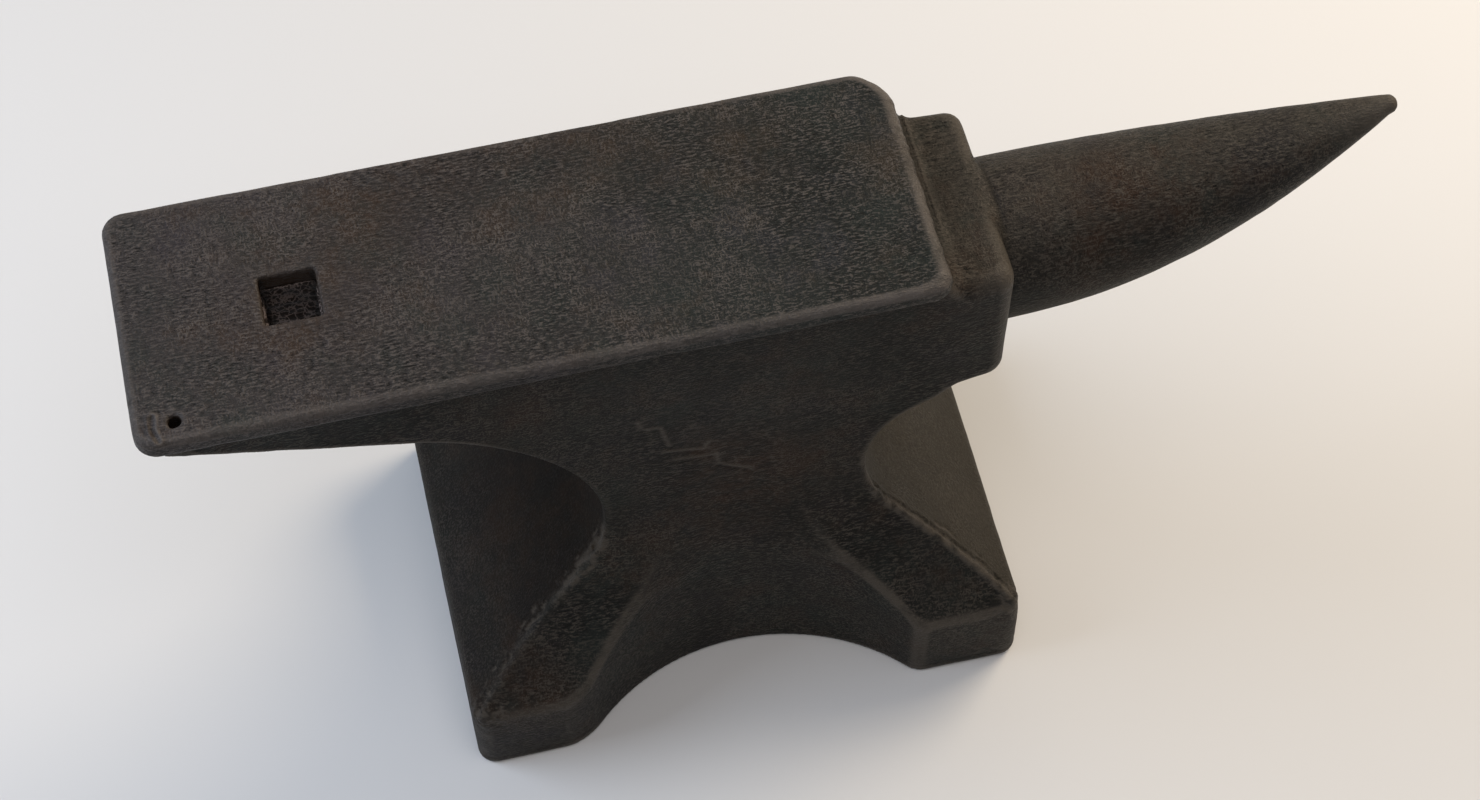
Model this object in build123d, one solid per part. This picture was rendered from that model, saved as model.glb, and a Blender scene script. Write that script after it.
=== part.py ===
from build123d import *
import os

# A London-pattern blacksmith's anvil, built up the traditional way: a core, a heel, a horn and four
# foot corners of wrought iron, forge-welded face to face, with a hardened steel plate on top.
# Millimetres. +X points towards the horn, +Z up. The origin is the centre of the base's underside.

# Whole anvil
ANVIL_HEIGHT = 300.0
BASE_LENGTH = 280.0
BASE_WIDTH = 194.0

# Face plate
FACE_LENGTH = 358.0
FACE_WIDTH = 124.0
FACE_THICKNESS = 10.0
FACE_HEEL_END = -259.0
FACE_CORNER_RADIUS = 10.0
FACE_EDGE_RADIUS = 4.0
FACE_LOWER_EDGE_RADIUS = 1.5

# Holes through the plate and the heel
HARDIE_SIDE = 25.4
HARDIE_X = -183.5
PRITCHEL_RADIUS = 3.0
PRITCHEL_X = -240.5
PRITCHEL_Y = -51.2

# Body, seen from the end
BODY_WIDTH = 104.0
FLARE_RADIUS = 170.0
FOOT_HEIGHT = 48.0

# Body, seen from the side
WAIST_X = 2.0
WAIST_LENGTH = 128.0
WAIST_HEIGHT = 146.0
INSTEP_RADIUS = 48.0  # from the upright waist into the slope of the feet
INSTEP_ANGLE = 43.0
STEP_X = 95.0
HEEL_WELD_X = -138.0
THROAT_POINT = (-89.0, 208.0)  # on the curve from the heel's underside down to the waist
BRACKET_POINT = (79.0, 183.0)  # on the curve from the waist up to the table's underside

# Arches in the long sides of the base
ARCH_RADIUS = 112.0
ARCH_HALF_WIDTH = 57.5  # from the centre line to the arch at its deepest

# Heel
HEEL_END_X = -249.0
HEEL_END_WIDTH = 114.0
HEEL_END_UNDERSIDE = 282.0
HEEL_ROOT_UNDERSIDE = 243.0
HEEL_END_RADIUS = 4.0

# Cutting table and horn
TABLE_END_X = 132.0
TABLE_HEIGHT = 278.0
TABLE_UNDERSIDE = 200.0
TABLE_UNDERSIDE_SLOPE = 0.1
TABLE_EDGE_RADIUS = 8.0
HORN_TIP_X = 327.0
HORN_POINT_X = 335.0  # where the taper would run out to nothing
HORN_ROOT_RADIUS = 37.5
HORN_ROOT_TOP = 276.0
HORN_TIP_TOP = 288.0
HORN_TAPER = 2.3  # exponent of the taper: higher keeps the horn full for longer
HORN_SECTIONS = 12
HORN_SPACING = 0.8  # under 1 brings the sections closer together towards the tip
HORN_TIP_RADIUS = 4.9

# Weld between the foot corners and the core
FOOT_WELD_X = 66.0  # each side of the waist's centre
FOOT_WELD_HEIGHT = 112.0

CORE_TOP = ANVIL_HEIGHT - FACE_THICKNESS


def block(x_range, y_range, z_range):
    """A plain block between two values on each axis."""
    (x0, x1), (y0, y1), (z0, z1) = x_range, y_range, z_range
    middle = ((x0 + x1) / 2, (y0 + y1) / 2, (z0 + z1) / 2)
    return Pos(*middle) * Box(x1 - x0, y1 - y0, z1 - z0)


def side_outline():
    """The body's outline from the heel weld to the step, seen from the side."""
    half_base = BASE_LENGTH / 2
    heel_waist = WAIST_X - WAIST_LENGTH / 2
    horn_waist = WAIST_X + WAIST_LENGTH / 2
    instep_heel = CenterArc((heel_waist - INSTEP_RADIUS, WAIST_HEIGHT), INSTEP_RADIUS, 0, -INSTEP_ANGLE)
    instep_horn = CenterArc((horn_waist + INSTEP_RADIUS, WAIST_HEIGHT), INSTEP_RADIUS, 180, INSTEP_ANGLE)
    heel_length = HEEL_WELD_X - HEEL_END_X
    heel_drop = HEEL_END_UNDERSIDE - HEEL_ROOT_UNDERSIDE
    under_heel = Spline(
        (HEEL_WELD_X, HEEL_ROOT_UNDERSIDE),
        THROAT_POINT,
        (heel_waist, WAIST_HEIGHT),
        tangents=[(heel_length, -heel_drop), (0, -1)],
    )
    under_table = Spline(
        (horn_waist, WAIST_HEIGHT),
        BRACKET_POINT,
        (TABLE_END_X, TABLE_UNDERSIDE),
        tangents=[(0, 1), (1, TABLE_UNDERSIDE_SLOPE)],
    )
    return Curve() + [
        under_heel,
        instep_heel,
        Polyline(
            instep_heel @ 1,
            (-half_base, FOOT_HEIGHT),
            (-half_base, 0),
            (half_base, 0),
            (half_base, FOOT_HEIGHT),
            instep_horn @ 1,
        ),
        instep_horn,
        under_table,
        Polyline(
            (TABLE_END_X, TABLE_UNDERSIDE),
            (TABLE_END_X, CORE_TOP),
            (HEEL_WELD_X, CORE_TOP),
            (HEEL_WELD_X, HEEL_ROOT_UNDERSIDE),
        ),
    ]


def end_outline():
    """The body's outline seen from the end: upright sides that flare out to the feet."""
    half_body = BODY_WIDTH / 2
    half_base = BASE_WIDTH / 2
    run = half_base - half_body
    drop = (2 * FLARE_RADIUS * run - run**2) ** 0.5
    flare_start = FOOT_HEIGHT + drop
    half_way_run = FLARE_RADIUS - (FLARE_RADIUS**2 - (drop / 2) ** 2) ** 0.5
    half_way = (half_body + half_way_run, FOOT_HEIGHT + drop / 2)
    right = Curve() + [
        Line((0, CORE_TOP), (half_body, CORE_TOP)),
        Line((half_body, CORE_TOP), (half_body, flare_start)),
        ThreePointArc((half_body, flare_start), half_way, (half_base, FOOT_HEIGHT)),
        Polyline((half_base, FOOT_HEIGHT), (half_base, 0), (0, 0)),
    ]
    return right + mirror(right, Plane.YZ)


def base_plan():
    """The outline of the base seen from above, with an arch in each long side."""
    plan = Rectangle(BASE_LENGTH, BASE_WIDTH)
    for side in (-1, 1):
        arch_centre = side * (ARCH_HALF_WIDTH + ARCH_RADIUS)
        plan -= Pos(WAIST_X, arch_centre) * Circle(ARCH_RADIUS)
    return plan


def whole_body():
    """Core, feet and table blank as one shape, before it is cut at the welds."""
    side = extrude(Plane.XZ * make_face(side_outline()), BASE_WIDTH, both=True)
    end = extrude(Plane.YZ * make_face(end_outline()), FACE_LENGTH, both=True)
    plan = extrude(base_plan(), CORE_TOP)
    return side & end & plan


def foot_blank(toward_horn, away):
    """The space that one foot corner fills: its half of one end of the base."""
    weld_x = WAIST_X + toward_horn * FOOT_WELD_X
    end_x = toward_horn * BASE_LENGTH
    return block(sorted((weld_x, end_x)), sorted((0, away * BASE_WIDTH)), (0, FOOT_WELD_HEIGHT))


def core_blank():
    """The space that the core and the feet fill, below the plate and behind the step."""
    return block((-BASE_LENGTH, STEP_X), (-BASE_WIDTH, BASE_WIDTH), (0, ANVIL_HEIGHT))


def heel():
    """A wedge that thins towards its end, with both tool holes through it."""
    profile = Polyline(
        (HEEL_WELD_X, CORE_TOP),
        (HEEL_END_X, CORE_TOP),
        (HEEL_END_X, HEEL_END_UNDERSIDE),
        (HEEL_WELD_X, HEEL_ROOT_UNDERSIDE),
        close=True,
    )
    plan = Polyline(
        (HEEL_END_X, HEEL_END_WIDTH / 2),
        (HEEL_WELD_X, BODY_WIDTH / 2),
        (HEEL_WELD_X, -BODY_WIDTH / 2),
        (HEEL_END_X, -HEEL_END_WIDTH / 2),
        close=True,
    )
    side = extrude(Plane.XZ * make_face(profile), HEEL_END_WIDTH, both=True)
    wedge = side & extrude(make_face(plan), CORE_TOP)
    upright = [edge for edge in wedge.edges().filter_by(Axis.Z) if abs(edge.center().X - HEEL_END_X) < 1]
    return fillet(upright, HEEL_END_RADIUS) - tool_holes()


def tool_holes():
    """The square hardie hole and the round pritchel hole, right through plate and heel."""
    hardie = Pos(HARDIE_X, 0, 0) * Box(HARDIE_SIDE, HARDIE_SIDE, 3 * ANVIL_HEIGHT)
    pritchel = Pos(PRITCHEL_X, PRITCHEL_Y, 0) * Cylinder(PRITCHEL_RADIUS, 3 * ANVIL_HEIGHT)
    return hardie + pritchel


def face_plate():
    """The hardened slab that overhangs the body all round, with worn edges."""
    plan = RectangleRounded(FACE_LENGTH, FACE_WIDTH, FACE_CORNER_RADIUS)
    slab = Pos(FACE_HEEL_END + FACE_LENGTH / 2, 0, CORE_TOP) * extrude(plan, FACE_THICKNESS)
    slab = fillet(slab.faces().sort_by(Axis.Z)[-1].edges(), FACE_EDGE_RADIUS)
    slab = fillet(slab.faces().sort_by(Axis.Z)[0].edges(), FACE_LOWER_EDGE_RADIUS)
    return slab - tool_holes()


def horn_cone():
    """The horn: round sections that shrink to a domed tip along a top line that rises gently."""
    dome_x = HORN_TIP_X - HORN_TIP_RADIUS
    sections = []
    for i in range(HORN_SECTIONS + 1):
        x = TABLE_END_X + (dome_x - TABLE_END_X) * (i / HORN_SECTIONS) ** HORN_SPACING
        tapered = ((x - TABLE_END_X) / (HORN_POINT_X - TABLE_END_X)) ** HORN_TAPER
        risen = ((x - TABLE_END_X) / (HORN_TIP_X - TABLE_END_X)) ** 2
        radius = HORN_ROOT_RADIUS * (1 - tapered)
        top = HORN_ROOT_TOP + risen * (HORN_TIP_TOP - HORN_ROOT_TOP)
        sections.append(Plane(origin=(x, 0, top - radius), z_dir=(1, 0, 0)) * Circle(radius))
    seat = (Align.CENTER, Align.CENTER, Align.MIN)
    dome = Rot(0, 90, 0) * Sphere(HORN_TIP_RADIUS, arc_size1=0, align=seat)
    return loft(sections) + Pos(dome_x, 0, HORN_TIP_TOP - HORN_TIP_RADIUS) * dome


def horn(body):
    """The cutting table and the horn, one forging, welded on under the end of the plate."""
    table = body & block((STEP_X, TABLE_END_X), (-BODY_WIDTH, BODY_WIDTH), (WAIST_HEIGHT, TABLE_HEIGHT))
    worn = [
        edge
        for edge in table.edges()
        if edge.center().X > STEP_X + 1 and edge.center().Z > TABLE_UNDERSIDE - TABLE_EDGE_RADIUS
    ]
    table = fillet(worn, TABLE_EDGE_RADIUS)
    return table + horn_cone()


body = whole_body()
feet = {
    "foot_heel_near": foot_blank(-1, -1),
    "foot_heel_far": foot_blank(-1, 1),
    "foot_horn_near": foot_blank(1, -1),
    "foot_horn_far": foot_blank(1, 1),
}
pieces = {name: body & blank for name, blank in feet.items()}
core = body & core_blank()
for blank in feet.values():
    core -= blank
pieces["body_core"] = core
pieces["heel"] = heel()
pieces["horn"] = horn(body)
pieces["face_plate"] = face_plate()

os.makedirs("parts", exist_ok=True)
for name, piece in pieces.items():
    print(name, round(piece.volume), len(piece.solids()))
    export_step(piece, f"parts/{name}.step")
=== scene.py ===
import math

import bpy
import numpy as np
import openvdb
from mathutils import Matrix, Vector


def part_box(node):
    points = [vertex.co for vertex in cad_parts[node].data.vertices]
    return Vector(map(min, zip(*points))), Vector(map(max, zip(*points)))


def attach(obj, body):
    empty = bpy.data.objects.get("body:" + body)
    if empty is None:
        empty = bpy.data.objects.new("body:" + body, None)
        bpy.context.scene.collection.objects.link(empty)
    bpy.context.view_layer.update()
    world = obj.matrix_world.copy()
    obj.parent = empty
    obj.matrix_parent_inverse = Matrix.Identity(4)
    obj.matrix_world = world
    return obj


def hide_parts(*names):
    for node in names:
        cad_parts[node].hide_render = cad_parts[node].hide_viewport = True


# The looks of a forged blacksmith's anvil. Each CAD piece is replaced by a piece cut from one
# sculpted body, a signed distance field on a fine grid, so that the welds don't show and the worn
# edges, chips and dents run on across them. The shape is worked out in millimetres and written
# in metres. Distances are negative inside the iron.

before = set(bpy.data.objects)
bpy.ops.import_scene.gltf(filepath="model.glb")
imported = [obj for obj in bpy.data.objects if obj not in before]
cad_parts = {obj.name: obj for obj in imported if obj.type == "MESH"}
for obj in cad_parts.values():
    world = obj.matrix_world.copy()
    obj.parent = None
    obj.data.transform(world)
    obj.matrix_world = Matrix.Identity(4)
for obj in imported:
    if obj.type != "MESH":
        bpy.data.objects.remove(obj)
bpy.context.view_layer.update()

MM = 0.001
VOXEL = 1.35  # pitch of the grid that the body is sculpted on
PLATE_VOXEL = 1.15
BAND = 4.0  # how deep below and above the skin the relief is worked

# Worn edges, as radii
RIDGE_RADIUS = 2.4
FOOT_EDGE_RADIUS = 2.8
FOOT_CORNER_RADIUS = 9.0
SOLE_RADIUS = 2.5
ARCH_HEEL_LIP_RADIUS = 9.0
ARCH_HORN_LIP_RADIUS = 4.0
ARCH_CROWN_RADIUS = 11.0
TABLE_CORNER_RADIUS = 9.0
TABLE_TOP_RADIUS = 8.0
TABLE_BOTTOM_RADIUS = 10.0
STEP_FILLET = 12.0
HORN_GROOVE = 4.0
PLATE_EDGE_RADIUS = 3.4
PLATE_HORN_EDGE_RADIUS = 7.0
PLATE_LOWER_RADIUS = 1.8
PLATE_CORNER_RADIUS = 10.0
PLATE_FAR_CORNER_RADIUS = 19.0
HOLE_LIP_RADIUS = 1.3
HARDIE_CORNER_RADIUS = 1.2

# The body's curves
FOOT_HEIGHT = 48.0
FLARE_RADIUS = 170.0
BODY_HALF_WIDTH = 52.0
HEEL_HALF_WIDTH = 57.0
TABLE_HALF_WIDTH = 50.5
WAIST_X = 2.0
WAIST_HALF_LENGTH = 64.0
WAIST_HEIGHT = 146.0
INSTEP_RADIUS = 48.0
INSTEP_ANGLE = 43.0
UPPER_OVERLAP = 30.0  # how far the feet's surfaces run up inside the body above the waist
THROAT_HANDLES = (31.0, 47.0)  # of the curve from the heel's underside down to the waist
BRACKET_HANDLES = (27.0, 47.0)  # of the curve from the waist up to the table's underside
BRACKET_FLAT = (12.0, 1.2)  # run and rise of the straight stretch behind the table's lower corner
BRACKET_END_RISE = 3.3  # of the curve's handle where it meets the straight stretch
HEEL_END_UNDERSIDE = 281.0
HEEL_ROOT_UNDERSIDE = 242.0
TABLE_HEIGHT = 278.0
TABLE_END_X = 132.0
TABLE_UNDERSIDE = 197.5
STEP_FACE_X = 98.5  # nearly flush with the plate's end
ARCH_X = 0.5
ARCH_RADIUS = 112.0
ARCH_HALF_WIDTH = 57.5

# The horn
HORN_ROOT_RADIUS = 38.3
HORN_ROOT_TOP = 276.0
HORN_TIP_TOP = 288.0
HORN_POINT_X = 332.0
HORN_TAPER = 2.1
HORN_TIP_RADIUS = 4.2
HORN_TIP_WEAR = 1.5  # how much shorter the tip is than the CAD's

# The tool holes
HARDIE_HALF = 12.7
HARDIE_X = -183.5
PRITCHEL_RADIUS = 3.0
PRITCHEL_X = -240.5
PRITCHEL_Y = -51.2


def corners(node):
    """A CAD node's lowest and highest corners, in millimetres."""
    low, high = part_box(node)
    return np.array(low) / MM, np.array(high) / MM


plate_low, plate_high = corners("face_plate")
heel_low, heel_high = corners("heel")
horn_low, horn_high = corners("horn")
heel_foot_low, heel_foot_high = corners("foot_heel_near")
horn_foot_low, _ = corners("foot_horn_near")
PLATE_TOP = plate_high[2]
CORE_TOP = plate_low[2]
HEEL_END_X = heel_low[0]
HEEL_WELD_X = heel_high[0]
STEP_X = horn_low[0]
HORN_TIP_X = horn_high[0] - HORN_TIP_WEAR
BASE_HALF_LENGTH = -heel_foot_low[0]
BASE_HALF_WIDTH = -heel_foot_low[1]
FOOT_WELD_HEIGHT = heel_foot_high[2]
HEEL_FOOT_WELD_X = heel_foot_high[0]
HORN_FOOT_WELD_X = horn_foot_low[0]


# ---------------------------------------------------------------- distance fields


def round_max(a, b, radius):
    """Where two solids overlap, with the edge between their surfaces rounded."""
    outside = np.hypot(np.maximum(a + radius, 0), np.maximum(b + radius, 0))
    return np.minimum(-radius, np.maximum(a, b)) + outside


def round_min(a, b, radius):
    """Two solids joined, with a fillet in the corner between them."""
    inside = np.hypot(np.maximum(radius - a, 0), np.maximum(radius - b, 0))
    return np.maximum(radius, np.minimum(a, b)) - inside


def ramp(value, start, end):
    """0 before start and 1 after end, with a smooth rise between."""
    t = np.clip((value - start) / (end - start), 0, 1)
    return t * t * (3 - 2 * t)


def fall(value, start, end):
    """1 before start and 0 after end, with a smooth drop between."""
    return ramp(-value, -end, -start)


def hill(value, middle, spread):
    """1 at middle, dying away on both sides."""
    return np.exp(-(((value - middle) / spread) ** 2))


def rounded_box(u, v, half_u, half_v, radius):
    """Distance to a rectangle about the origin with rounded corners."""
    du = np.abs(u) - half_u + radius
    dv = np.abs(v) - half_v + radius
    return np.hypot(np.maximum(du, 0), np.maximum(dv, 0)) + np.minimum(np.maximum(du, dv), 0) - radius


def bezier(start, start_handle, end_handle, end, steps=24):
    """Points along a cubic curve, without its last one."""
    t = np.linspace(0, 1, steps, endpoint=False)[:, None]
    p = [np.array(q, float) for q in (start, start_handle, end_handle, end)]
    return (1 - t) ** 3 * p[0] + 3 * t * (1 - t) ** 2 * p[1] + 3 * t**2 * (1 - t) * p[2] + t**3 * p[3]


def arc(centre, radius, start, end, steps=20):
    """Points along an arc between two angles in degrees, without its last one."""
    angles = np.radians(np.linspace(start, end, steps, endpoint=False))
    return np.column_stack([centre[0] + radius * np.cos(angles), centre[1] + radius * np.sin(angles)])


def fillet_corner(before, corner, after, radius):
    """The arc that rounds one corner of an outline, as points."""
    before, corner, after = (np.array(p, float) for p in (before, corner, after))
    to_before = (before - corner) / np.linalg.norm(before - corner)
    to_after = (after - corner) / np.linalg.norm(after - corner)
    half_angle = math.acos(np.clip(to_before @ to_after, -1, 1)) / 2
    reach = radius / math.tan(half_angle)
    middle = to_before + to_after
    centre = corner + middle / np.linalg.norm(middle) * radius / math.sin(half_angle)
    first = corner + to_before * reach - centre
    last = corner + to_after * reach - centre
    start = math.degrees(math.atan2(first[1], first[0]))
    turn = math.degrees(math.atan2(first[0] * last[1] - first[1] * last[0], first @ last))
    return np.vstack([arc(centre, radius, start, start + turn, 8), [centre + last]])


def side_outline():
    """The body seen from the side, from the heel to the table. It runs on past the plate's underside
    and below the feet, where other surfaces end it."""
    above = CORE_TOP + 30
    below = -60.0
    slope = (HEEL_ROOT_UNDERSIDE - HEEL_END_UNDERSIDE) / (HEEL_WELD_X - HEEL_END_X)
    throat = np.array([HEEL_WELD_X, HEEL_ROOT_UNDERSIDE])
    along_heel = np.array([1, slope]) / math.hypot(1, slope)
    heel_waist = np.array([WAIST_X - WAIST_HALF_LENGTH, WAIST_HEIGHT])
    horn_waist = np.array([WAIST_X + WAIST_HALF_LENGTH, WAIST_HEIGHT])
    table_end = np.array([TABLE_END_X, TABLE_UNDERSIDE])
    up = np.array([0, 1.0])
    bracket_end = table_end - BRACKET_FLAT
    bracket_handle = np.array([BRACKET_HANDLES[1] - BRACKET_FLAT[0], BRACKET_END_RISE])
    table_lip = (TABLE_END_X, TABLE_HEIGHT)
    step_foot = (STEP_FACE_X, TABLE_HEIGHT)
    step_top = (STEP_FACE_X, above)
    heel_instep = arc(heel_waist - [INSTEP_RADIUS, 0], INSTEP_RADIUS, 0, -INSTEP_ANGLE)
    horn_instep = arc(horn_waist + [INSTEP_RADIUS, 0], INSTEP_RADIUS, 180 + INSTEP_ANGLE, 180)
    reach = BASE_HALF_LENGTH + FOOT_HEIGHT - below
    return np.vstack(
        [
            [(HEEL_END_X, above)],
            [(HEEL_END_X, HEEL_END_UNDERSIDE)],
            bezier(
                throat,
                throat + along_heel * THROAT_HANDLES[0],
                heel_waist + up * THROAT_HANDLES[1],
                heel_waist,
            ),
            heel_instep,
            [(-BASE_HALF_LENGTH, FOOT_HEIGHT)],
            [(-reach, below)],
            [(reach, below)],
            [(BASE_HALF_LENGTH, FOOT_HEIGHT)],
            horn_instep,
            bezier(
                horn_waist,
                horn_waist + up * BRACKET_HANDLES[0],
                bracket_end - bracket_handle,
                bracket_end,
            ),
            fillet_corner(bracket_end, table_end, table_lip, TABLE_BOTTOM_RADIUS),
            fillet_corner(table_end, table_lip, step_foot, TABLE_TOP_RADIUS),
            fillet_corner(table_lip, step_foot, step_top, STEP_FILLET),
            [step_top],
        ]
    )


class Outline:
    """Distance to a closed outline, worked out once on a fine flat grid and read back smoothly."""

    def __init__(self, points, pitch=1.0, margin=12.0):
        self.low = points.min(0) - margin
        self.pitch = pitch
        count = np.ceil((points.max(0) + margin - self.low) / pitch).astype(int) + 1
        u, v = np.meshgrid(*(self.low[i] + pitch * np.arange(count[i]) for i in (0, 1)), indexing="ij")
        nearest = np.full(u.shape, 1e9)
        inside = np.zeros(u.shape, bool)
        for (u0, v0), (u1, v1) in zip(points, np.roll(points, -1, axis=0)):
            run_u, run_v = u1 - u0, v1 - v0
            t = np.clip(((u - u0) * run_u + (v - v0) * run_v) / (run_u**2 + run_v**2 + 1e-12), 0, 1)
            nearest = np.minimum(nearest, (u - u0 - t * run_u) ** 2 + (v - v0 - t * run_v) ** 2)
            crosses = (v0 > v) != (v1 > v)
            inside ^= crosses & (u < u0 + (v - v0) * run_u / (run_v if run_v else 1e-12))
        self.table = np.where(inside, -1, 1) * np.sqrt(nearest)

    def at(self, u, v):
        """The distance at points (u, v)."""
        gu = np.clip((u - self.low[0]) / self.pitch, 0, self.table.shape[0] - 1.001)
        gv = np.clip((v - self.low[1]) / self.pitch, 0, self.table.shape[1] - 1.001)
        iu, iv = gu.astype(int), gv.astype(int)
        fu, fv = gu - iu, gv - iv
        t = self.table
        lower = t[iu, iv] * (1 - fu) + t[iu + 1, iv] * fu
        upper = t[iu, iv + 1] * (1 - fu) + t[iu + 1, iv + 1] * fu
        return lower * (1 - fv) + upper * fv


side = Outline(side_outline())


def end_distance(y, z):
    """The body seen from the end: upright sides that flare out in an arc towards the feet."""
    run = BASE_HALF_WIDTH - BODY_HALF_WIDTH
    flare_start = FOOT_HEIGHT + math.sqrt(2 * FLARE_RADIUS * run - run**2)
    from_centre = np.hypot(BODY_HALF_WIDTH + FLARE_RADIUS - np.abs(y), np.minimum(z - flare_start, 0))
    return FLARE_RADIUS - from_centre


def plan_distance(x, y):
    """The base seen from above: rounded corners, and an arch in each long side with rounded lips."""
    block = rounded_box(x, y, BASE_HALF_LENGTH, BASE_HALF_WIDTH, FOOT_CORNER_RADIUS)
    arch = ARCH_RADIUS - np.hypot(x - ARCH_X, np.abs(y) - ARCH_HALF_WIDTH - ARCH_RADIUS)
    lip = ARCH_HEEL_LIP_RADIUS + (ARCH_HORN_LIP_RADIUS - ARCH_HEEL_LIP_RADIUS) * ramp(x, -20, 20)
    return round_max(block, arch, lip)


def half_width(x):
    """Half the width of the heel, body and table along the anvil."""
    toward_heel = np.clip((HEEL_WELD_X - x) / (HEEL_WELD_X - HEEL_END_X), 0, 1)
    toward_horn = ramp(x, STEP_X, TABLE_END_X)
    widened = (HEEL_HALF_WIDTH - BODY_HALF_WIDTH) * toward_heel
    return BODY_HALF_WIDTH + widened - (BODY_HALF_WIDTH - TABLE_HALF_WIDTH) * toward_horn


def horn_distance(x, y, z):
    """The horn: round sections that shrink to a domed tip along a top line that rises gently."""
    dome_x = HORN_TIP_X - HORN_TIP_RADIUS
    station = np.clip(x, TABLE_END_X - 30, dome_x)
    run = np.maximum(station - TABLE_END_X, 0)
    radius = HORN_ROOT_RADIUS * (1 - (run / (HORN_POINT_X - TABLE_END_X)) ** HORN_TAPER)
    top = HORN_ROOT_TOP + (run / (HORN_TIP_X - TABLE_END_X)) ** 2 * (HORN_TIP_TOP - HORN_ROOT_TOP)
    return np.sqrt((x - station) ** 2 + y**2 + (z - top + radius) ** 2) - radius


def hole_distance(x, y):
    """Both tool holes as solids that are then taken away."""
    hardie = rounded_box(x - HARDIE_X, y, HARDIE_HALF, HARDIE_HALF, HARDIE_CORNER_RADIUS)
    pritchel = np.hypot(x - PRITCHEL_X, y - PRITCHEL_Y) - PRITCHEL_RADIUS
    return np.minimum(hardie, pritchel)


def body_distance(x, y, z):
    """Everything below the plate, as one smooth shape before any wear."""
    profile = side.at(x, z)
    edge = RIDGE_RADIUS + (TABLE_CORNER_RADIUS - RIDGE_RADIUS) * ramp(x, STEP_X, STEP_X + 15)
    upper = round_max(profile, np.abs(y) - half_width(x), edge)
    upper = np.maximum(upper, WAIST_HEIGHT - z)
    lower = round_max(profile, end_distance(y, z), RIDGE_RADIUS)
    arch_edge = FOOT_EDGE_RADIUS + (ARCH_CROWN_RADIUS - FOOT_EDGE_RADIUS) * fall(np.abs(x), 18, 52)
    lower = round_max(lower, plan_distance(x, y), arch_edge)
    lower = round_max(lower, -z, SOLE_RADIUS)
    lower = np.maximum(lower, z - WAIST_HEIGHT - UPPER_OVERLAP)
    whole = round_min(np.minimum(upper, lower), horn_distance(x, y, z), HORN_GROOVE)
    return np.maximum(whole, -hole_distance(x, y))


def plate_distance(x, y, z):
    """The face plate before any wear."""
    middle_x = (plate_low[0] + plate_high[0]) / 2
    half = (plate_high - plate_low) / 2
    far_corner = np.minimum(ramp(x, 40, 90), ramp(y, 0, 40))
    radius = PLATE_CORNER_RADIUS + (PLATE_FAR_CORNER_RADIUS - PLATE_CORNER_RADIUS) * far_corner
    plan = rounded_box(x - middle_x, y, half[0], half[1], radius)
    toward_horn = ramp(x, plate_high[0] - 18, plate_high[0] - 6)
    edge = PLATE_EDGE_RADIUS + (PLATE_HORN_EDGE_RADIUS - PLATE_EDGE_RADIUS) * toward_horn
    slab = round_max(plan, z - PLATE_TOP, edge)
    slab = round_max(slab, CORE_TOP - z, PLATE_LOWER_RADIUS)
    return round_max(slab, -hole_distance(x, y), HOLE_LIP_RADIUS)


# ---------------------------------------------------------------- relief on the skin

LATTICE = 32


def value_noise(points, size, seed):
    """Smooth noise from -1 to 1 whose lumps are about size across."""
    table = np.random.default_rng(seed).uniform(-1, 1, (LATTICE, LATTICE, LATTICE)).astype(np.float32)
    scaled = points / np.asarray(size, np.float32)
    cell = np.floor(scaled).astype(np.int64)
    part = (scaled - cell).astype(np.float32)
    part = part * part * (3 - 2 * part)
    i0, j0, k0 = (cell % LATTICE).T
    i1, j1, k1 = (i0 + 1) % LATTICE, (j0 + 1) % LATTICE, (k0 + 1) % LATTICE
    u, v, w = part.T
    near = (table[i0, j0, k0] * (1 - u) + table[i1, j0, k0] * u) * (1 - v)
    near += (table[i0, j1, k0] * (1 - u) + table[i1, j1, k0] * u) * v
    far = (table[i0, j0, k1] * (1 - u) + table[i1, j0, k1] * u) * (1 - v)
    far += (table[i0, j1, k1] * (1 - u) + table[i1, j1, k1] * u) * v
    return near * (1 - w) + far * w


def to_segment(points, start, end):
    """Distance from points to a straight line between two points."""
    start, end = np.array(start, float), np.array(end, float)
    run = end - start
    t = np.clip((points - start) @ run / (run @ run), 0, 1)
    return np.linalg.norm(points - start - t[:, None] * run, axis=1)


def forged_relief(points):
    """How far the hammer and the years have raised or sunk the skin, in millimetres."""
    relief = 0.45 * value_noise(points, 70, 11)
    relief += 0.22 * value_noise(points, 26, 12)
    relief += 0.10 * value_noise(points, 9, 13)
    relief += 0.07 * value_noise(points, (7, 4, 4), 14)
    return relief


def groove(distance, width, depth):
    """A scratch's cross-section: a narrow cut with a lip thrown up on each side."""
    return 0.45 * depth * hill(distance, 1.9 * width, width) - depth * hill(distance, 0, width)


def across_ridge(points):
    """How far round a ridge points lie: 0 where an instep meets a flared side, above 0 on the instep
    and below 0 on the flare."""
    x, y, z = points.T
    return side.at(x, z) - end_distance(y, z)


def flaked(points):
    """How near points are to the torn flakes halfway down the ridges of the heel's instep."""
    x, _, z = points.T
    return hill(z, 118, 19) * hill(across_ridge(points), 1, 5) * (x < WAIST_X - 40)


def foot_corners(points):
    """How near points are to the crumbled upper corners of the feet."""
    x, y, z = points.T
    return np.exp(-((np.abs(x) - 133) ** 2 + (np.abs(y) - 91) ** 2 + (z - 49) ** 2) / 75)


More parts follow.
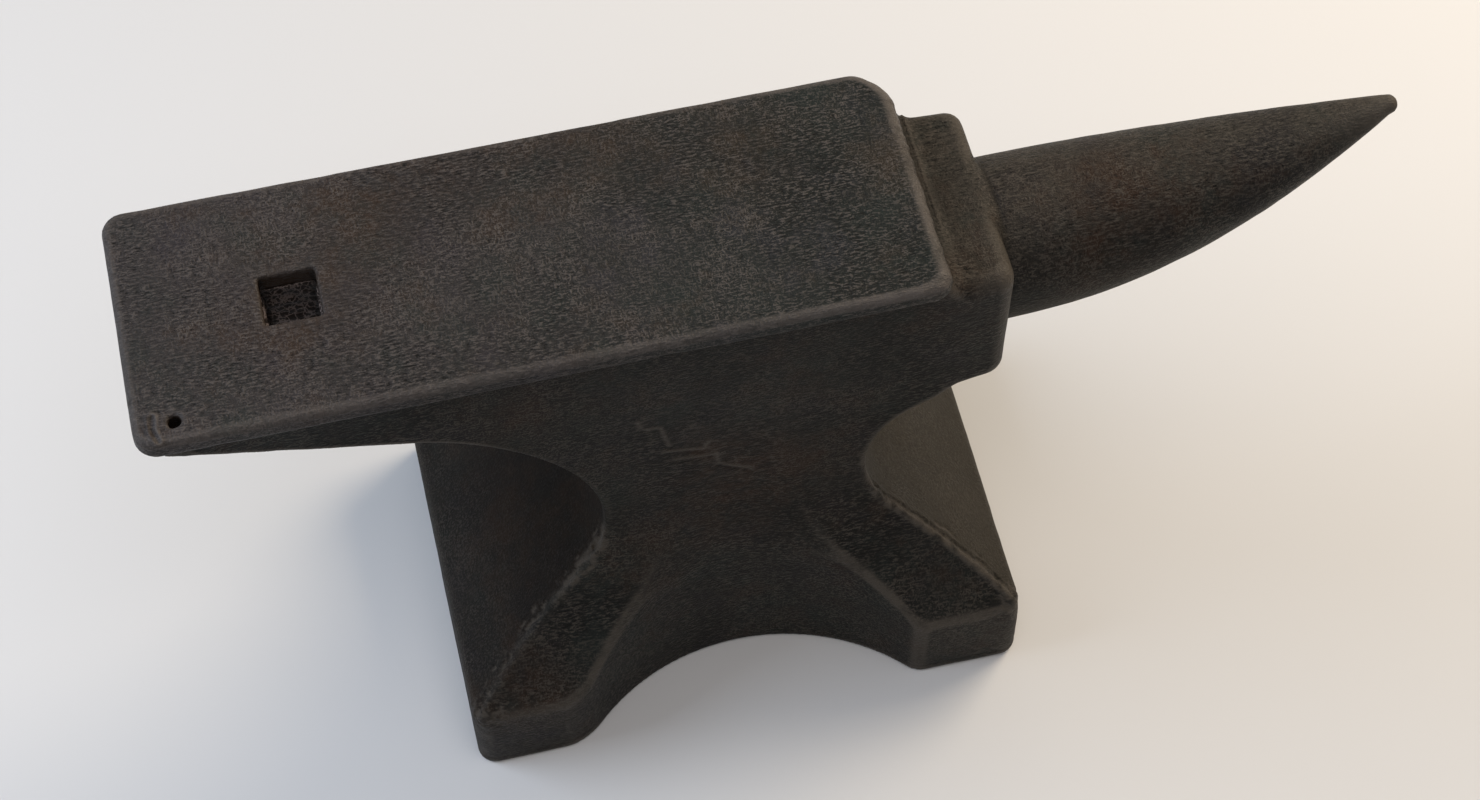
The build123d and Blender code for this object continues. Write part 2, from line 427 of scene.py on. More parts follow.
def chipped_ridges(points):
    """Ragged chips along the ridges between the insteps and the flared sides, and at the feet's corners."""
    x, _, z = points.T
    across = across_ridge(points)
    on_ridge = ramp(np.abs(x - WAIST_X), 56, 62) * ramp(z, 44, 50) * fall(z, 126, 142)
    ragged = value_noise(points, 3.2, 21)
    lumps = value_noise(points, (9, 9, 11), 22)
    broken = ramp(lumps + 0.5 * ragged, -0.6, 0.1)
    wander = 1.2 * value_noise(points, 14, 23) + 1.1 * value_noise(points, 4.5, 26)
    first = hill(across, 3 + wander, 1.5)
    second = hill(across, 7.5 + wander, 1.2) * ramp(value_noise(points, 20, 24), -0.4, 0.1)
    chips = (1.7 * first + 1.0 * second) * broken * (0.7 + 0.5 * ragged)
    crest = hill(across, 0, 2.2) * (0.2 + 0.7 * ragged) * np.where(x < WAIST_X, 0.6, 1.1)
    crest += 0.6 * hill(across, 5.2 + wander, 1.1) * broken
    flakes = flaked(points) * (3.6 * np.abs(value_noise(points, (2.8, 2.8, 6), 25)) - 0.9)
    crumbs = np.minimum(4.2 * np.abs(value_noise(points, (4, 4, 3), 27)) - 1.9, 0.5)
    return on_ridge * (crest - chips + flakes) + crumbs * foot_corners(points)


# Crooked scratches high on the near side of the waist, as x and z
SCRATCHES = [
    [(-43.5, 225), (-42, 219)],
    [(-40, 217), (-33, 216), (-31, 206), (-29, 198)],
    [(-32, 194), (-20, 192), (-13, 190), (-10, 196)],
    [(-27, 186), (-15, 184), (-7, 183), (-6, 174)],
    [(-3.5, 172), (10, 163)],
]


def from_scratches(points):
    """Distance to the scratches, for points close to them."""
    nearest = np.full(len(points), 99.0)
    close = (points[:, 1] < -40) & (np.abs(points[:, 0] + 16) < 45) & (np.abs(points[:, 2] - 194) < 50)
    for line in SCRATCHES:
        for (x0, z0), (x1, z1) in zip(line, line[1:]):
            away = to_segment(points[close], (x0, -BODY_HALF_WIDTH, z0), (x1, -BODY_HALF_WIDTH, z1))
            nearest[close] = np.minimum(nearest[close], away)
    return nearest


def scratched_side(points):
    """The scratches' raised burrs, each with a cut just below it."""
    burr = hill(from_scratches(points), 0, 1.2)
    cut = hill(from_scratches(points + [0, 0, 2.4]), 0, 1.1)
    return 0.8 * burr - 0.8 * cut


def sole_creases(points):
    """Fine laps in the iron that run round the feet near the sole and below their top edge."""
    x, y, z = points.T
    outer = ramp(np.maximum(np.abs(x) - BASE_HALF_LENGTH, np.abs(y) - BASE_HALF_WIDTH), -5, -2)
    wander = 1.6 * value_noise(points, 30, 31)
    low = hill(z, 7 + wander, 0.9) * ramp(value_noise(points, 24, 32), -0.5, 0.1)
    high = hill(z, 40 + 2 * wander, 0.9) * ramp(value_noise(points, 22, 33), 0.0, 0.4)
    return -0.45 * outer * (low + high)


def horn_crease(points):
    """How near points are to the crease where the horn leaves the table, which is darkened with painted
    shade.
    """
    x, _, z = points.T
    wander = 0.5 * value_noise(points, 11, 34)
    return hill(x, TABLE_END_X + 1.6 + wander, 1.2) * (z > 205)


def step_crease(points, shift=0.0):
    """How near points are to the crease that runs across the step, fading out at its near end, or to
    a line beside it."""
    x, y, z = points.T
    line = STEP_FACE_X + 4.6 + shift + 0.4 * value_noise(points, 12, 35)
    return hill(x, line, 0.9) * ramp(y, -38, -12) * (z > TABLE_HEIGHT - 2)


STEP_LIP = 2.2  # how far the raised lip lies beyond the step's crease


def sculpt_body(points, distance):
    """The body's field near the skin with its wear. The sole stays flat, and the wall of the hardie
    hole is crinkled, most of all just below the plate."""
    x, y, z = points.T
    relief = forged_relief(points) + chipped_ridges(points) + scratched_side(points) + sole_creases(points)
    relief += 0.6 * step_crease(points, STEP_LIP) - 0.8 * step_crease(points) - 0.7 * horn_crease(points)
    relief *= ramp(z, 0.5, 4)
    in_hole = fall(np.abs(hole_distance(x, y)), 1.0, 2.5) * fall(x, -160, -150)
    crinkle = 1.0 * value_noise(points, (4.5, 3, 3.2), 41) + 0.9 * value_noise(points, 2.6, 42) + 0.5
    crinkle += 1.5 * fall(z, 262, 272)
    return distance - relief - in_hole * crinkle


# A gouge in the plate's corner and small pits beside the pritchel hole, as x and y
GOUGE = [(-249.4, -47.5), (-250.2, -54), (-248.4, -59.5)]
GOUGE_WIDTH = 0.9
GOUGE_DEPTH = 2.2
PRITCHEL_PITS = [(-247, -56), (-244.3, -55), (-246.5, -58.6), (-242.6, -54.8)]


def from_gouge(points):
    """Distance to the gouge."""
    parts = [to_segment(points, (*a, PLATE_TOP), (*b, PLATE_TOP - 0.4)) for a, b in zip(GOUGE, GOUGE[1:])]
    return np.minimum(*parts)


def sculpt_plate(points, distance):
    """The plate's field near the skin with its wear."""
    x, y, _ = points.T
    relief = 0.5 * forged_relief(points)
    relief += groove(from_gouge(points), GOUGE_WIDTH, GOUGE_DEPTH)
    for pit_x, pit_y in PRITCHEL_PITS:
        relief -= 0.6 * np.exp(-(((x - pit_x) ** 2 + (y - pit_y) ** 2) / 1.7))
    horn_edge = ramp(x, plate_high[0] - 16, plate_high[0] - 5)
    relief += 0.40 * horn_edge * value_noise(points, (14, 2.6, 9), 51)
    rim = ramp(np.maximum(np.abs(y) - plate_high[1], x - plate_high[0]), -7, -3)
    relief -= 0.22 * rim * ramp(value_noise(points, (16, 7, 5), 52), 0.1, 0.6)
    return distance - relief


# ---------------------------------------------------------------- meshes


class Field:
    """A distance field on a grid, with the pieces' skin at zero."""

    def __init__(self, low, high, pitch, distance, sculpt):
        self.low = np.array(low, float)
        self.pitch = pitch
        count = np.ceil((np.array(high) - self.low) / pitch).astype(int) + 1
        axes = [(self.low[i] + pitch * np.arange(count[i])).astype(np.float32) for i in range(3)]
        x, y, z = axes[0][:, None, None], axes[1][None, :, None], axes[2][None, None, :]
        self.smooth = distance(x, y, z).astype(np.float32)
        self.grid = self.smooth.copy()
        near = np.nonzero(np.abs(self.smooth) < BAND)
        points = np.column_stack([axes[i][near[i]] for i in range(3)])
        self.grid[near] = sculpt(points, self.smooth[near])

    def sample(self, grid, points):
        """A grid's value at points."""
        scaled = (points - self.low) / self.pitch
        scaled = np.clip(scaled, 0, np.array(grid.shape) - 1.001)
        i, j, k = np.floor(scaled).astype(int).T
        u, v, w = (scaled - np.floor(scaled)).T
        near = (grid[i, j, k] * (1 - u) + grid[i + 1, j, k] * u) * (1 - v)
        near += (grid[i, j + 1, k] * (1 - u) + grid[i + 1, j + 1, k] * u) * v
        far = (grid[i, j, k + 1] * (1 - u) + grid[i + 1, j, k + 1] * u) * (1 - v)
        far += (grid[i, j + 1, k + 1] * (1 - u) + grid[i + 1, j + 1, k + 1] * u) * v
        return near * (1 - w) + far * w

    def normals(self, points, reach=0.6):
        """The skin's outward direction at points."""
        steps = np.eye(3) * reach * self.pitch
        slope = [self.sample(self.grid, points + s) - self.sample(self.grid, points - s) for s in steps]
        slope = np.column_stack(slope)
        return slope / (np.linalg.norm(slope, axis=1)[:, None] + 1e-9)

    def bend(self, points, reach=3.0):
        """How sharply the unworn shape turns at points: above 0 on edges, below 0 in corners."""
        steps = np.vstack([np.eye(3), -np.eye(3)]) * reach
        around = sum(self.sample(self.smooth, points + s) for s in steps)
        return (around - 6 * self.sample(self.smooth, points)) / reach

    def mesh(self, name):
        """The skin as a closed mesh, in metres."""
        volume = openvdb.FloatGrid(background=float(BAND))
        volume.copyFromArray(np.clip(self.grid, -BAND, BAND))
        points, quads = volume.convertToQuads(isovalue=0.0)
        made = bpy.data.meshes.new(name)
        made.from_pydata((points * self.pitch + self.low) * MM, [], quads)
        made.update()
        return made


def box_mesh(low, high):
    """A plain cutter block, given in millimetres."""
    low, high = np.array(low) * MM, np.array(high) * MM
    points = [[(low, high)[(i >> a) & 1][a] for a in range(3)] for i in range(8)]
    faces = [(0, 2, 3, 1), (4, 5, 7, 6), (0, 1, 5, 4), (2, 6, 7, 3), (0, 4, 6, 2), (1, 3, 7, 5)]
    made = bpy.data.meshes.new("cutter")
    made.from_pydata(points, [], faces)
    return made


def cut(mesh, name, operation, boxes):
    """A mesh kept inside each block, or with each block taken away."""
    piece = bpy.data.objects.new(name, mesh)
    bpy.context.scene.collection.objects.link(piece)
    cutters = []
    for low, high in boxes:
        cutter = bpy.data.objects.new("cutter", box_mesh(low, high))
        bpy.context.scene.collection.objects.link(cutter)
        modifier = piece.modifiers.new("cut", "BOOLEAN")
        modifier.operation = operation
        modifier.object = cutter
        modifier.solver = "MANIFOLD"
        cutters.append(cutter)
    bpy.context.view_layer.update()
    depsgraph = bpy.context.evaluated_depsgraph_get()
    result = bpy.data.meshes.new_from_object(piece.evaluated_get(depsgraph))
    result.name = name
    piece.modifiers.clear()
    piece.data = result
    for cutter in cutters:
        bpy.data.meshes.remove(cutter.data)
    return piece


# Where the rust gathers, each with how far it reaches
RUST_SPOTS = [
    ((-4, -52, 176), 16),
    ((12, -54, 146), 44),
    ((-4, -54, 160), 20),
    ((-28, -54, 128), 18),
    ((-90, -52, 250), 22),
    ((-112, -84, 56), 22),
    ((-183, 4, 300), 34),
    ((-130, 52, 300), 30),
    ((-40, 56, 300), 34),
    ((30, 34, 300), 26),
    ((88, 10, 300), 14),
    ((104, -40, 278), 12),
    ((180, -20, 270), 34),
]


def bare_edges(points, bend):
    """How bare the metal is on worn edges, from 0 to 1. Some edges stay darker than others."""
    x, y, z = points.T
    ridge = hill(across_ridge(points), 0, 9)
    corner = foot_corners(points)
    on_plate = z > CORE_TOP + 0.1
    in_base = z < WAIST_HEIGHT
    plate_rim = 0.2 + 0.8 * (ramp(z, CORE_TOP + 4, CORE_TOP + 8) + (z < CORE_TOP - 0.1))
    heel_ridge = ridge * fall(x, -45, -20) * fall(z, 220, 235) * ramp(z, 30, 50)
    base_end = ramp(np.abs(x), BASE_HALF_LENGTH - 8, BASE_HALF_LENGTH - 4) * (z < 100)
    end_rim = base_end * fall(np.abs(y), 82, 92)
    hole_lip = fall(hole_distance(x, y), 2, 5)
    gaps = ramp(value_noise(points, (3.5, 3.5, 4.5), 63), -0.25, 0.25)
    edge = ramp(bend, 0.12, 0.55) * plate_rim
    edge *= 1 - 0.45 * on_plate * fall(x, 0, 70)
    edge *= 1 - 0.75 * np.clip(ridge * in_base + corner, 0, 1) * gaps
    edge *= 1 - 0.8 * fall(np.abs(x), 25, 60) * in_base
    return edge * (1 - 0.8 * heel_ridge) * (1 - 0.85 * end_rim) * (1 - 0.5 * hole_lip)


def bare_marks_and_highlight(points):
    """How bare the metal is in the scratches, the gouge and the chips, with a painted highlight along the
    step's raised lip, from 0 to 1.
    """
    x = points[:, 0]
    chips = ramp(np.abs(chipped_ridges(points)), 0.25, 0.80) * ramp(value_noise(points, 2.4, 61), -0.5, 0.2)
    torn = ramp(flaked(points), 0.15, 0.5) * ramp(value_noise(points, (2.4, 2.4, 6), 62), -0.3, 0.2)
    marks = hill(from_scratches(points), 0, 1.1)
    gouge_lip = hill(from_gouge(points), 2 * GOUGE_WIDTH, 0.7) * ramp(x, -250.5, -249.5)
    # Painted highlight along the step's raised lip
    step_lip = step_crease(points, STEP_LIP)
    return np.maximum.reduce([marks, gouge_lip, 0.85 * np.maximum(chips, torn), 0.45 * step_lip])


def rubbed_and_lit_areas(points, normals):
    """How far handling, work and painted light have lightened the skin: the plate towards its heel end
    (painted sheen), the tops of the table and the horn (painted top light), the fronts of the feet and the
    walls of the arches (painted front light)."""
    x, y, z = points.T
    # Painted light as well as wear: a painted sheen towards the plate's heel end, painted top light where
    # the table and horn face up, painted front light on the feet and arch walls
    plate = 0.75 * fall(x, -250, 100)
    tops = ramp(normals[:, 2], 0.3, 0.95) * (x > STEP_X - 1)
    upper = np.where(z > CORE_TOP - 1, plate, tops) * (z > TABLE_UNDERSIDE)
    foot_front = ramp(np.abs(y), BASE_HALF_WIDTH - 6, BASE_HALF_WIDTH - 2) * fall(z, 44, 48)
    arch_wall = ramp(plan_distance(x, y), -6, -1) * (z < WAIST_HEIGHT)
    return upper + 0.45 * foot_front + 0.25 * arch_wall


def wear_and_painted_light_masks(points, field):
    """Everything that the materials read, by name, one value per point."""
    x, y, z = points.T
    bend = field.bend(points)
    instep = ramp(across_ridge(points), -1, 7) * fall(z, 200, 265)
    creased = np.maximum(0.9 * horn_crease(points), 0.8 * step_crease(points)) * (z < CORE_TOP)
    rusty = sum(hill(np.linalg.norm(points - spot, axis=1), 0, reach) for spot, reach in RUST_SPOTS)
    return {
        "edge": bare_edges(points, bend),
        # painted shade in concave corners and in the creases at the horn and the step
        "hollow_shade": np.maximum(ramp(-bend, 0.1, 0.8), creased),
        # painted shade over the heel-side instep, strongest high up and paler towards the foot
        "heel_instep": instep * (x < WAIST_X) * (0.45 + 0.55 * ramp(z + 0.4 * x, -10, 50)),
        "horn_instep": instep * (x > WAIST_X),
        "hole_wall": fall(hole_distance(x, y), 0.4, 1.4) * fall(z, PLATE_TOP - 3, PLATE_TOP - 0.5),
        "scratch_and_highlight": bare_marks_and_highlight(points),
        "rusty": np.clip(rusty, 0, 1),
        "rubbed_and_lit": rubbed_and_lit_areas(points, field.normals(points)),
    }


def read_items(items, attribute, width, kind):
    """One attribute of a mesh's vertices, corners or faces as an array."""
    values = np.empty(len(items) * width, kind)
    items.foreach_get(attribute, values)
    return values.reshape(-1, width) if width > 1 else values


def shade_smooth(mesh, points, field, planes):
    """Smooth shading that follows the field, so it runs on across the welds. The flat faces of the
    welds keep their own direction."""
    corner_vertex = read_items(mesh.loops, "vertex_index", 1, np.int32)
    totals = read_items(mesh.polygons, "loop_total", 1, np.int32)
    flat = read_items(mesh.polygons, "normal", 3, np.float32)
    face_of_corner = np.repeat(np.arange(len(totals)), totals)
    starts = np.concatenate([[0], np.cumsum(totals)[:-1]])
    normals = field.normals(points)[corner_vertex]
    for axis, value in planes:
        on_plane = np.abs(points[:, axis] - value) < 0.01
        cap = np.logical_and.reduceat(on_plane[corner_vertex], starts)
        chosen = cap[face_of_corner]
        normals[chosen] = flat[face_of_corner[chosen]]
    mesh.polygons.foreach_set("use_smooth", np.ones(len(totals), bool))
    return normals


def finish_mesh(piece, field, planes):
    """A piece with its shading and with the wear, painted light and painted shade that the materials read.
    """
    mesh = piece.data
    points = read_items(mesh.vertices, "co", 3, np.float32) / MM
    normals = shade_smooth(mesh, points, field, planes)
    for name, values in wear_and_painted_light_masks(points, field).items():
        attribute = mesh.attributes.new(name, "FLOAT", "POINT")
        attribute.data.foreach_set("value", values.astype(np.float32))
    mesh.normals_split_custom_set(normals)
    return piece


FAR = 500.0  # well beyond the anvil on every side
MARGIN = 4.0  # of the grids round the iron
body_field = Field(
    (HEEL_END_X - MARGIN, -BASE_HALF_WIDTH - MARGIN, -MARGIN),
    (HORN_TIP_X + MARGIN, BASE_HALF_WIDTH + MARGIN, CORE_TOP + 3 * MARGIN),
    VOXEL,
    body_distance,
    sculpt_body,
)
plate_field = Field(plate_low - MARGIN, plate_high + MARGIN, PLATE_VOXEL, plate_distance, sculpt_plate)

heel_block = ((-FAR, -FAR, WAIST_HEIGHT), (HEEL_WELD_X, FAR, CORE_TOP))
horn_block = ((STEP_X, -FAR, WAIST_HEIGHT), (FAR, FAR, CORE_TOP))
foot_blocks = {}
for end, weld_x in (("heel", HEEL_FOOT_WELD_X), ("horn", HORN_FOOT_WELD_X)):
    for side_name, away in (("near", -1), ("far", 1)):
        end_x = -FAR if end == "heel" else FAR
        low = (min(end_x, weld_x), min(0, away * FAR), -FAR)
        high = (max(end_x, weld_x), max(0, away * FAR), FOOT_WELD_HEIGHT)
        foot_blocks[f"foot_{end}_{side_name}"] = (low, high)
# What the core leaves to the heel, the table, the plate and the feet
beyond_core = [
    ((-FAR, -FAR, WAIST_HEIGHT), (HEEL_WELD_X, FAR, FAR)),
    ((STEP_X, -FAR, WAIST_HEIGHT), (FAR, FAR, FAR)),
    ((-FAR, -FAR, CORE_TOP), (FAR, FAR, FAR)),
    ((-FAR, -FAR, -FAR), (HEEL_FOOT_WELD_X, FAR, FOOT_WELD_HEIGHT)),
    ((HORN_FOOT_WELD_X, -FAR, -FAR), (FAR, FAR, FOOT_WELD_HEIGHT)),
]
# The planes that the body is cut at, each as its axis and its place on it
WELDS = [
    (0, HEEL_WELD_X),
    (0, STEP_X),
    (0, HEEL_FOOT_WELD_X),
    (0, HORN_FOOT_WELD_X),
    (1, 0.0),
    (2, FOOT_WELD_HEIGHT),
    (2, CORE_TOP),
]

whole = body_field.mesh("body")
pieces = {
    "heel": cut(whole, "heel_forging", "INTERSECT", [heel_block]),
    "horn": cut(whole, "horn_and_table", "INTERSECT", [horn_block]),
    "body_core": cut(whole, "waisted_core", "DIFFERENCE", beyond_core),
}
for node, block in foot_blocks.items():
    pieces[node] = cut(whole, node + "_forging", "INTERSECT", [block])
bpy.data.meshes.remove(whole)
for piece in pieces.values():
    finish_mesh(piece, body_field, WELDS)
plate = bpy.data.objects.new("worn_face_plate", plate_field.mesh("worn_face_plate"))
bpy.context.scene.collection.objects.link(plate)
pieces["face_plate"] = finish_mesh(plate, plate_field, [])


# ---------------------------------------------------------------- materials


class Nodes:
    """A short way to build a material's nodes."""

    def __init__(self, name):
        self.material = bpy.data.materials.new(name)
        self.material.use_nodes = True
        self.tree = self.material.node_tree
        self.shader = self.tree.nodes["Principled BSDF"]
        self.place = self.add("ShaderNodeTexCoord").outputs["Object"]

    def add(self, kind, **settings):
        node = self.tree.nodes.new(kind)
        for key, value in settings.items():
            setattr(node, key, value)
        return node

    def link(self, source, target):
        self.tree.links.new(source, target)

    def put(self, socket, value):
        if isinstance(value, bpy.types.NodeSocket):
            self.link(value, socket)
        else:
            socket.default_value = value

    def stretched(self, scale):
        node = self.add("ShaderNodeMapping")
        node.inputs["Scale"].default_value = scale
        self.link(self.place, node.inputs["Vector"])
        return node.outputs["Vector"]

    def noise(self, scale, detail=2.0, roughness=0.5, stretch=None, distortion=0.0):
        node = self.add("ShaderNodeTexNoise")
        self.link(self.stretched(stretch) if stretch else self.place, node.inputs["Vector"])
        node.inputs["Scale"].default_value = scale
        node.inputs["Detail"].default_value = detail
        node.inputs["Roughness"].default_value = roughness
        node.inputs["Distortion"].default_value = distortion
        return node.outputs["Fac"]

    def warped(self, amount, scale):
        """The object's coordinates pushed about by noise."""
        wobble = self.add("ShaderNodeTexNoise")
        self.link(self.place, wobble.inputs["Vector"])
        wobble.inputs["Scale"].default_value = scale
        offset = self.add("ShaderNodeVectorMath", operation="MULTIPLY_ADD")
        self.link(wobble.outputs["Color"], offset.inputs[0])
        offset.inputs[1].default_value = (amount, amount, amount)
        self.link(self.place, offset.inputs[2])
        return offset.outputs["Vector"]

    def attribute(self, name):
        return self.add("ShaderNodeAttribute", attribute_name=name).outputs["Fac"]

    def math(self, operation, a, b=0.0, clamp=False):
        node = self.add("ShaderNodeMath", operation=operation, use_clamp=clamp)
        self.put(node.inputs[0], a)
        self.put(node.inputs[1], b)
        return node.outputs[0]

    def times(self, a, b):
        return self.math("MULTIPLY", a, b)

    def span(self, value, low, high, to_low=0.0, to_high=1.0):
        node = self.add("ShaderNodeMapRange", interpolation_type="SMOOTHSTEP")
        for socket, number in zip(node.inputs[:5], (value, low, high, to_low, to_high)):
            self.put(socket, number)
        return node.outputs[0]

    def blend(self, share, a, b, mode="MIX"):
        node = self.add("ShaderNodeMix", data_type="RGBA", blend_type=mode)
        self.put(node.inputs["Factor"], share)
        for socket, value in zip((node.inputs[6], node.inputs[7]), (a, b)):
            self.put(socket, value)
        return node.outputs[2]


# Tones that both materials share
GREEN_PATINA = (0.015, 0.0185, 0.0165, 1)
# Painted warm light for the horn-side instep
INSTEP_LIT_TAN = (0.0250, 0.0208, 0.0148, 1)
# Painted shade for the heel-side instep, in a dark and a red brown
INSTEP_SHADE_DARK_BROWN = (0.0064, 0.0043, 0.0030, 1)
INSTEP_SHADE_RED_BROWN = (0.0116, 0.0060, 0.0030, 1)
# Painted shade for the dips of the fine relief
DIP_SHADE_BLACK = (0.004, 0.0035, 0.003, 1)
# Painted shade for hollows and creases
CREASE_SHADE_BLACK = (0.006, 0.005, 0.004, 1)
SPECK_BLACK = (0.005, 0.004, 0.004, 1)


def skin_height(n):
    """The height of the skin's fine short dashes, which run along the anvil and in places are woven."""
    strokes = n.noise(980, 2.0, 0.6, stretch=(0.32, 1, 1))
    weave = n.noise(1050, 2.0, 0.6, stretch=(1, 0.42, 0.55))
    pebble = n.noise(1150, 2.0, 0.6)
    zones = n.span(n.noise(15, 4, 0.65), 0.40, 0.58)
    woven = n.math("MAXIMUM", strokes, n.math("SUBTRACT", weave, 0.02))
    mixed = n.blend(zones, strokes, woven)
    return n.math("ADD", n.times(mixed, 0.7), n.times(pebble, 0.3))


def tinted_skin(n, tones, tint):
    """The skin's broad colours: patches, areas lightened by rubbing and by painted light, green and cool
    tints, painted shade with a green tint where unrubbed, rust, and painted warm light in the horn-side
    instep.
    """
    patches = n.noise(16, 4, 0.6)
    green = n.noise(23, 4, 0.7, stretch=(1.1, 0.9, 1))
    rubbed_and_lit = n.attribute("rubbed_and_lit")
    base = n.blend(n.span(patches, 0.35, 0.65), tones["dark"], tones["light"])
    # Lighter where rubbed: partly wear, partly painted light
    base = n.blend(n.times(rubbed_and_lit, 0.8), base, tones["rubbed_and_lit"])
    base = n.blend(n.span(green, 0.48, 0.68, 0, 0.7), base, GREEN_PATINA)
    base = n.blend(n.span(green, 0.50, 0.34, 0, 0.6), base, tones["cool"])
    spotted = n.times(n.attribute("rusty"), n.span(tint, 0.32, 0.58, 0, 0.75))
    rusted = n.math("ADD", n.span(tint, 0.50, 0.68, 0, 0.6), spotted, clamp=True)
    base = n.blend(rusted, base, tones["rust"])
    # Painted shade with a green tint where the skin is not rubbed, darkest towards the plate's horn end
    base = n.blend(n.span(rubbed_and_lit, 0.0, 0.5, 1, 0), base, tones["verdigris_and_shade"], mode="MULTIPLY")
    # Painted warm light: the horn-side instep lightened to a tan
    return n.blend(n.times(n.attribute("horn_instep"), 0.9), base, INSTEP_LIT_TAN)


def crinkled_wall(n, tones):
    """The rough wall of the hardie hole: pale ridges of painted light between dark cells."""
    cracks = n.add("ShaderNodeTexVoronoi", feature="DISTANCE_TO_EDGE")
    cracks.inputs["Scale"].default_value = 330
    n.link(n.warped(0.004, 420), cracks.inputs["Vector"])
    between = n.span(cracks.outputs["Distance"], 0.02, 0.16)
    return n.blend(between, tones["lit_hole_ridges"], tones["hole_wall"])


def forged(name, tones, shine, grain_depth):
    """Dark forged iron: a skin of fine short dashes with painted glints on their tops and painted shade in
    their dips, rust tints, bare warm metal where it's worn, and painted shade in the heel-side instep and
    in hollows.
    """
    n = Nodes(name)
    height = skin_height(n)
    loud = n.span(n.noise(42, 4, 0.65), 0.38, 0.60, 0.65, 1.1)
    tint = n.noise(30, 6, 0.75)
    heel_instep = n.attribute("heel_instep")
    base = tinted_skin(n, tones, tint)

    peaks = n.times(n.span(height, 0.50, 0.60), loud)
    dips = n.times(n.span(height, 0.47, 0.38), loud)
    calm = n.span(n.attribute("horn_instep"), 0, 1, 1, 0.5)
    # Painted shade in the dips of the fine relief and painted glints on its peaks
    base = n.blend(n.times(n.times(dips, 0.9), calm), base, DIP_SHADE_BLACK)
    base = n.blend(n.times(n.times(peaks, 0.55), calm), base, tones["worn_metal_and_glint"])
    # Painted shade: the heel-side instep darkened to mottled dark and red browns
    instep_shade = n.blend(n.span(tint, 0.40, 0.60), INSTEP_SHADE_DARK_BROWN, INSTEP_SHADE_RED_BROWN)
    base = n.blend(n.times(heel_instep, 0.82), base, instep_shade)

    worn = n.times(n.attribute("edge"), n.span(n.noise(70, 5, 0.7), 0.25, 0.55, 0.3, 1))
    worn = n.times(worn, n.span(n.attribute("rusty"), 0, 1, 1, 0.4))
    worn = n.math("MAXIMUM", worn, n.attribute("scratch_and_highlight"))
    base = n.blend(n.times(worn, 0.8), base, tones["worn_metal_and_glint"])
    base = n.blend(n.attribute("hole_wall"), base, crinkled_wall(n, tones))
    # Painted shade in hollows and creases
    base = n.blend(n.times(n.attribute("hollow_shade"), 0.7), base, CREASE_SHADE_BLACK)
    specks = n.noise(1000, 2, 0.6)
    base = n.blend(n.span(specks, 0.64, 0.74, 0, 0.6), base, SPECK_BLACK)
    n.link(base, n.shader.inputs["Base Color"])

    clouds = n.noise(6, 3, 0.6)
    rough = n.span(clouds, 0.3, 0.7, 0.50, 0.62)
    rough = n.math("ADD", rough, n.times(heel_instep, 0.2))
    rough = n.math("SUBTRACT", rough, n.times(n.math("ADD", peaks, worn), 0.08), clamp=True)
    n.link(rough, n.shader.inputs["Roughness"])
    # One level for the whole skin, because the export keeps no specular level that is linked
    n.shader.inputs["Specular IOR Level"].default_value = shine

    fine = n.add("ShaderNodeBump")
    fine.inputs["Strength"].default_value = 1.0
    fine.inputs["Distance"].default_value = grain_depth
    n.link(height, fine.inputs["Height"])
    n.link(fine.outputs["Normal"], n.shader.inputs["Normal"])
    return n.material


FACE_TONES = {
    "dark": (0.0100, 0.0102, 0.0092, 1),
    "light": (0.0156, 0.0156, 0.0143, 1),
    "rubbed_and_lit": (0.0400, 0.0335, 0.0335, 1),
    "rust": (0.0300, 0.0185, 0.0125, 1),
    "cool": (0.0270, 0.0230, 0.0270, 1),
    "verdigris_and_shade": (0.70, 0.86, 0.88, 1),
    "worn_metal_and_glint": (0.098, 0.084, 0.076, 1),
    "hole_wall": (0.026, 0.015, 0.009, 1),
    "lit_hole_ridges": (0.030, 0.018, 0.011, 1),
}
IRON_TONES = {
    "dark": (0.0083, 0.0079, 0.0068, 1),
    "light": (0.0140, 0.0134, 0.0119, 1),
    "rubbed_and_lit": (0.0350, 0.0305, 0.0250, 1),
    "rust": (0.0245, 0.0135, 0.0085, 1),
    "cool": (0.0125, 0.0110, 0.0120, 1),
    "verdigris_and_shade": (0.97, 1.0, 1.0, 1),
    "worn_metal_and_glint": (0.072, 0.061, 0.050, 1),
    "hole_wall": (0.018, 0.013, 0.011, 1),
    # Painted light on the ridges of the hardie hole's wall
    "lit_hole_ridges": (0.150, 0.120, 0.110, 1),
}
face_steel = forged("face_steel", FACE_TONES, shine=0.15, grain_depth=0.0011)
forged_iron = forged("forged_iron", IRON_TONES, shine=0.10, grain_depth=0.0010)

for node, piece in pieces.items():
    piece.data.materials.clear()
    piece.data.materials.append(face_steel if node == "face_plate" else forged_iron)
    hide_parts(node)
    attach(piece, "root")


# ---------------------------------------------------------------- floor, light and camera


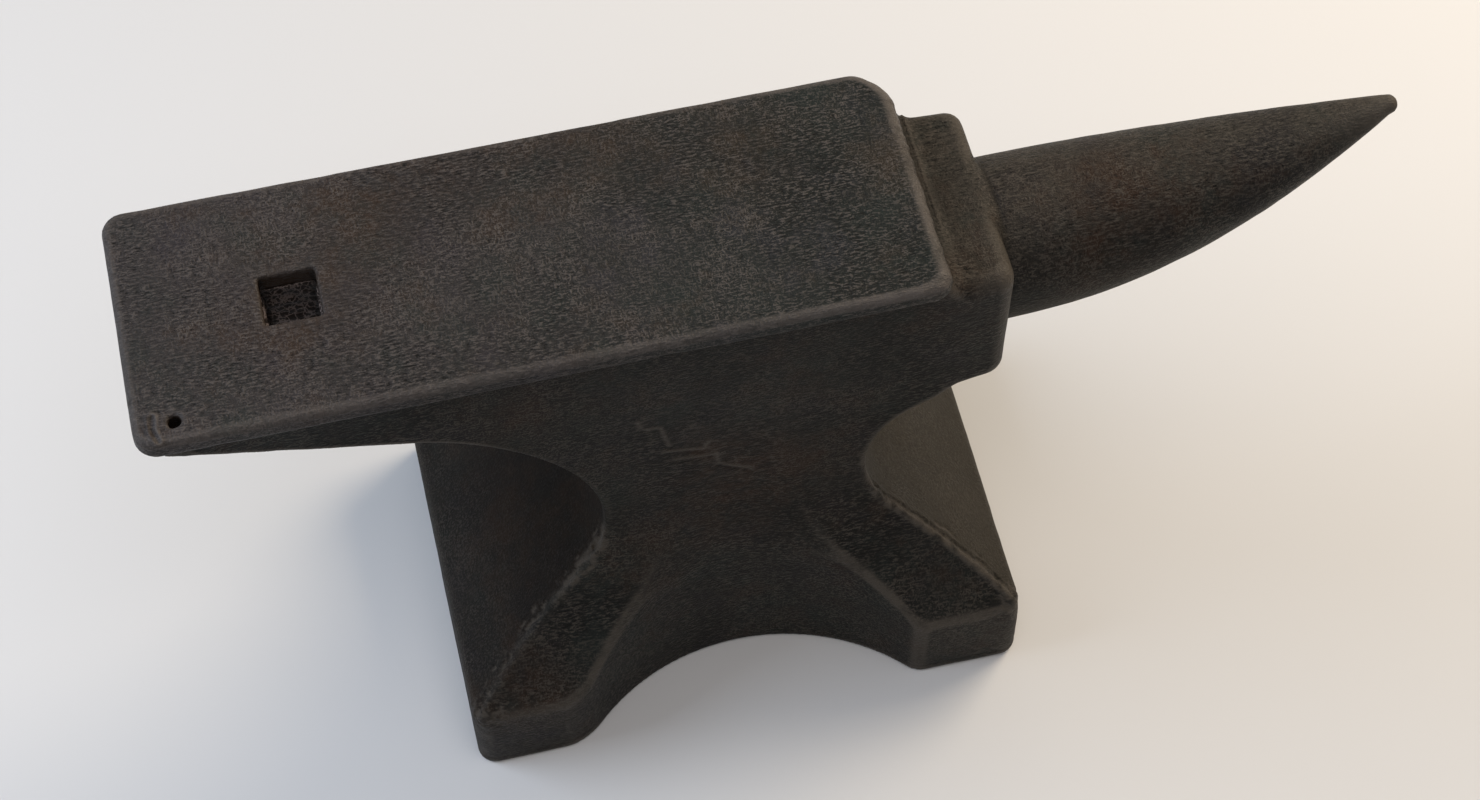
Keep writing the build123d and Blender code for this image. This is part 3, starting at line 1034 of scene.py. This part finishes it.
def pale_floor():
    """A plain pale floor that reaches well past the picture."""
    reach = 8.0
    square = [(-reach, -reach, 0), (reach, -reach, 0), (reach, reach, 0), (-reach, reach, 0)]
    floor_mesh = bpy.data.meshes.new("floor")
    floor_mesh.from_pydata(square, [], [(0, 1, 2, 3)])
    floor = bpy.data.objects.new("floor", floor_mesh)
    bpy.context.scene.collection.objects.link(floor)
    n = Nodes("floor")
    n.shader.inputs["Base Color"].default_value = (0.655, 0.652, 0.658, 1)
    n.shader.inputs["Roughness"].default_value = 0.8
    n.shader.inputs["Specular IOR Level"].default_value = 0.2
    floor_mesh.materials.append(n.material)


def soft_surroundings():
    """Even light from all round."""
    world = bpy.data.worlds.new("studio")
    bpy.context.scene.world = world
    world.use_nodes = True
    background = world.node_tree.nodes["Background"]
    background.inputs["Color"].default_value = (0.93, 0.94, 0.96, 1)
    background.inputs["Strength"].default_value = 0.31


LIT_POINT = Vector((0, 0, 0.1))


def lamp(name, place, size, power, colour):
    """A round soft light that faces the anvil."""
    data = bpy.data.lights.new(name, "AREA")
    data.shape = "DISK"
    data.size = size
    data.energy = power
    data.color = colour
    light = bpy.data.objects.new(name, data)
    light.location = place
    light.rotation_euler = (LIT_POINT - Vector(place)).to_track_quat("-Z", "Y").to_euler()
    bpy.context.scene.collection.objects.link(light)


CAMERA_PLACE = (-0.1579, -0.7333, 1.3579)
CAMERA_TILT = 31.75  # degrees up from looking straight down
CAMERA_TURN = -13.38  # degrees about the upright axis
CAMERA_LENS = 71.6
CAMERA_SENSOR = 36.0

pale_floor()
soft_surroundings()
lamp("cool_key", (-1.3, 0.3, 1.2), 1.1, 18, (0.74, 0.85, 1.0))
lamp("warm_key", (1.35, 0.7, 1.2), 1.0, 29, (1.0, 0.84, 0.62))
lamp("overhead", (0.1, -0.8, 2.5), 1.8, 17, (1.0, 0.94, 0.90))

camera_data = bpy.data.cameras.new("camera")
camera_data.sensor_width = CAMERA_SENSOR
camera_data.lens = CAMERA_LENS
camera = bpy.data.objects.new("camera", camera_data)
camera.location = CAMERA_PLACE
camera.rotation_euler = (math.radians(CAMERA_TILT), 0, math.radians(CAMERA_TURN))
bpy.context.scene.collection.objects.link(camera)
bpy.context.scene.camera = camera
bpy.context.scene.view_settings.view_transform = "Standard"
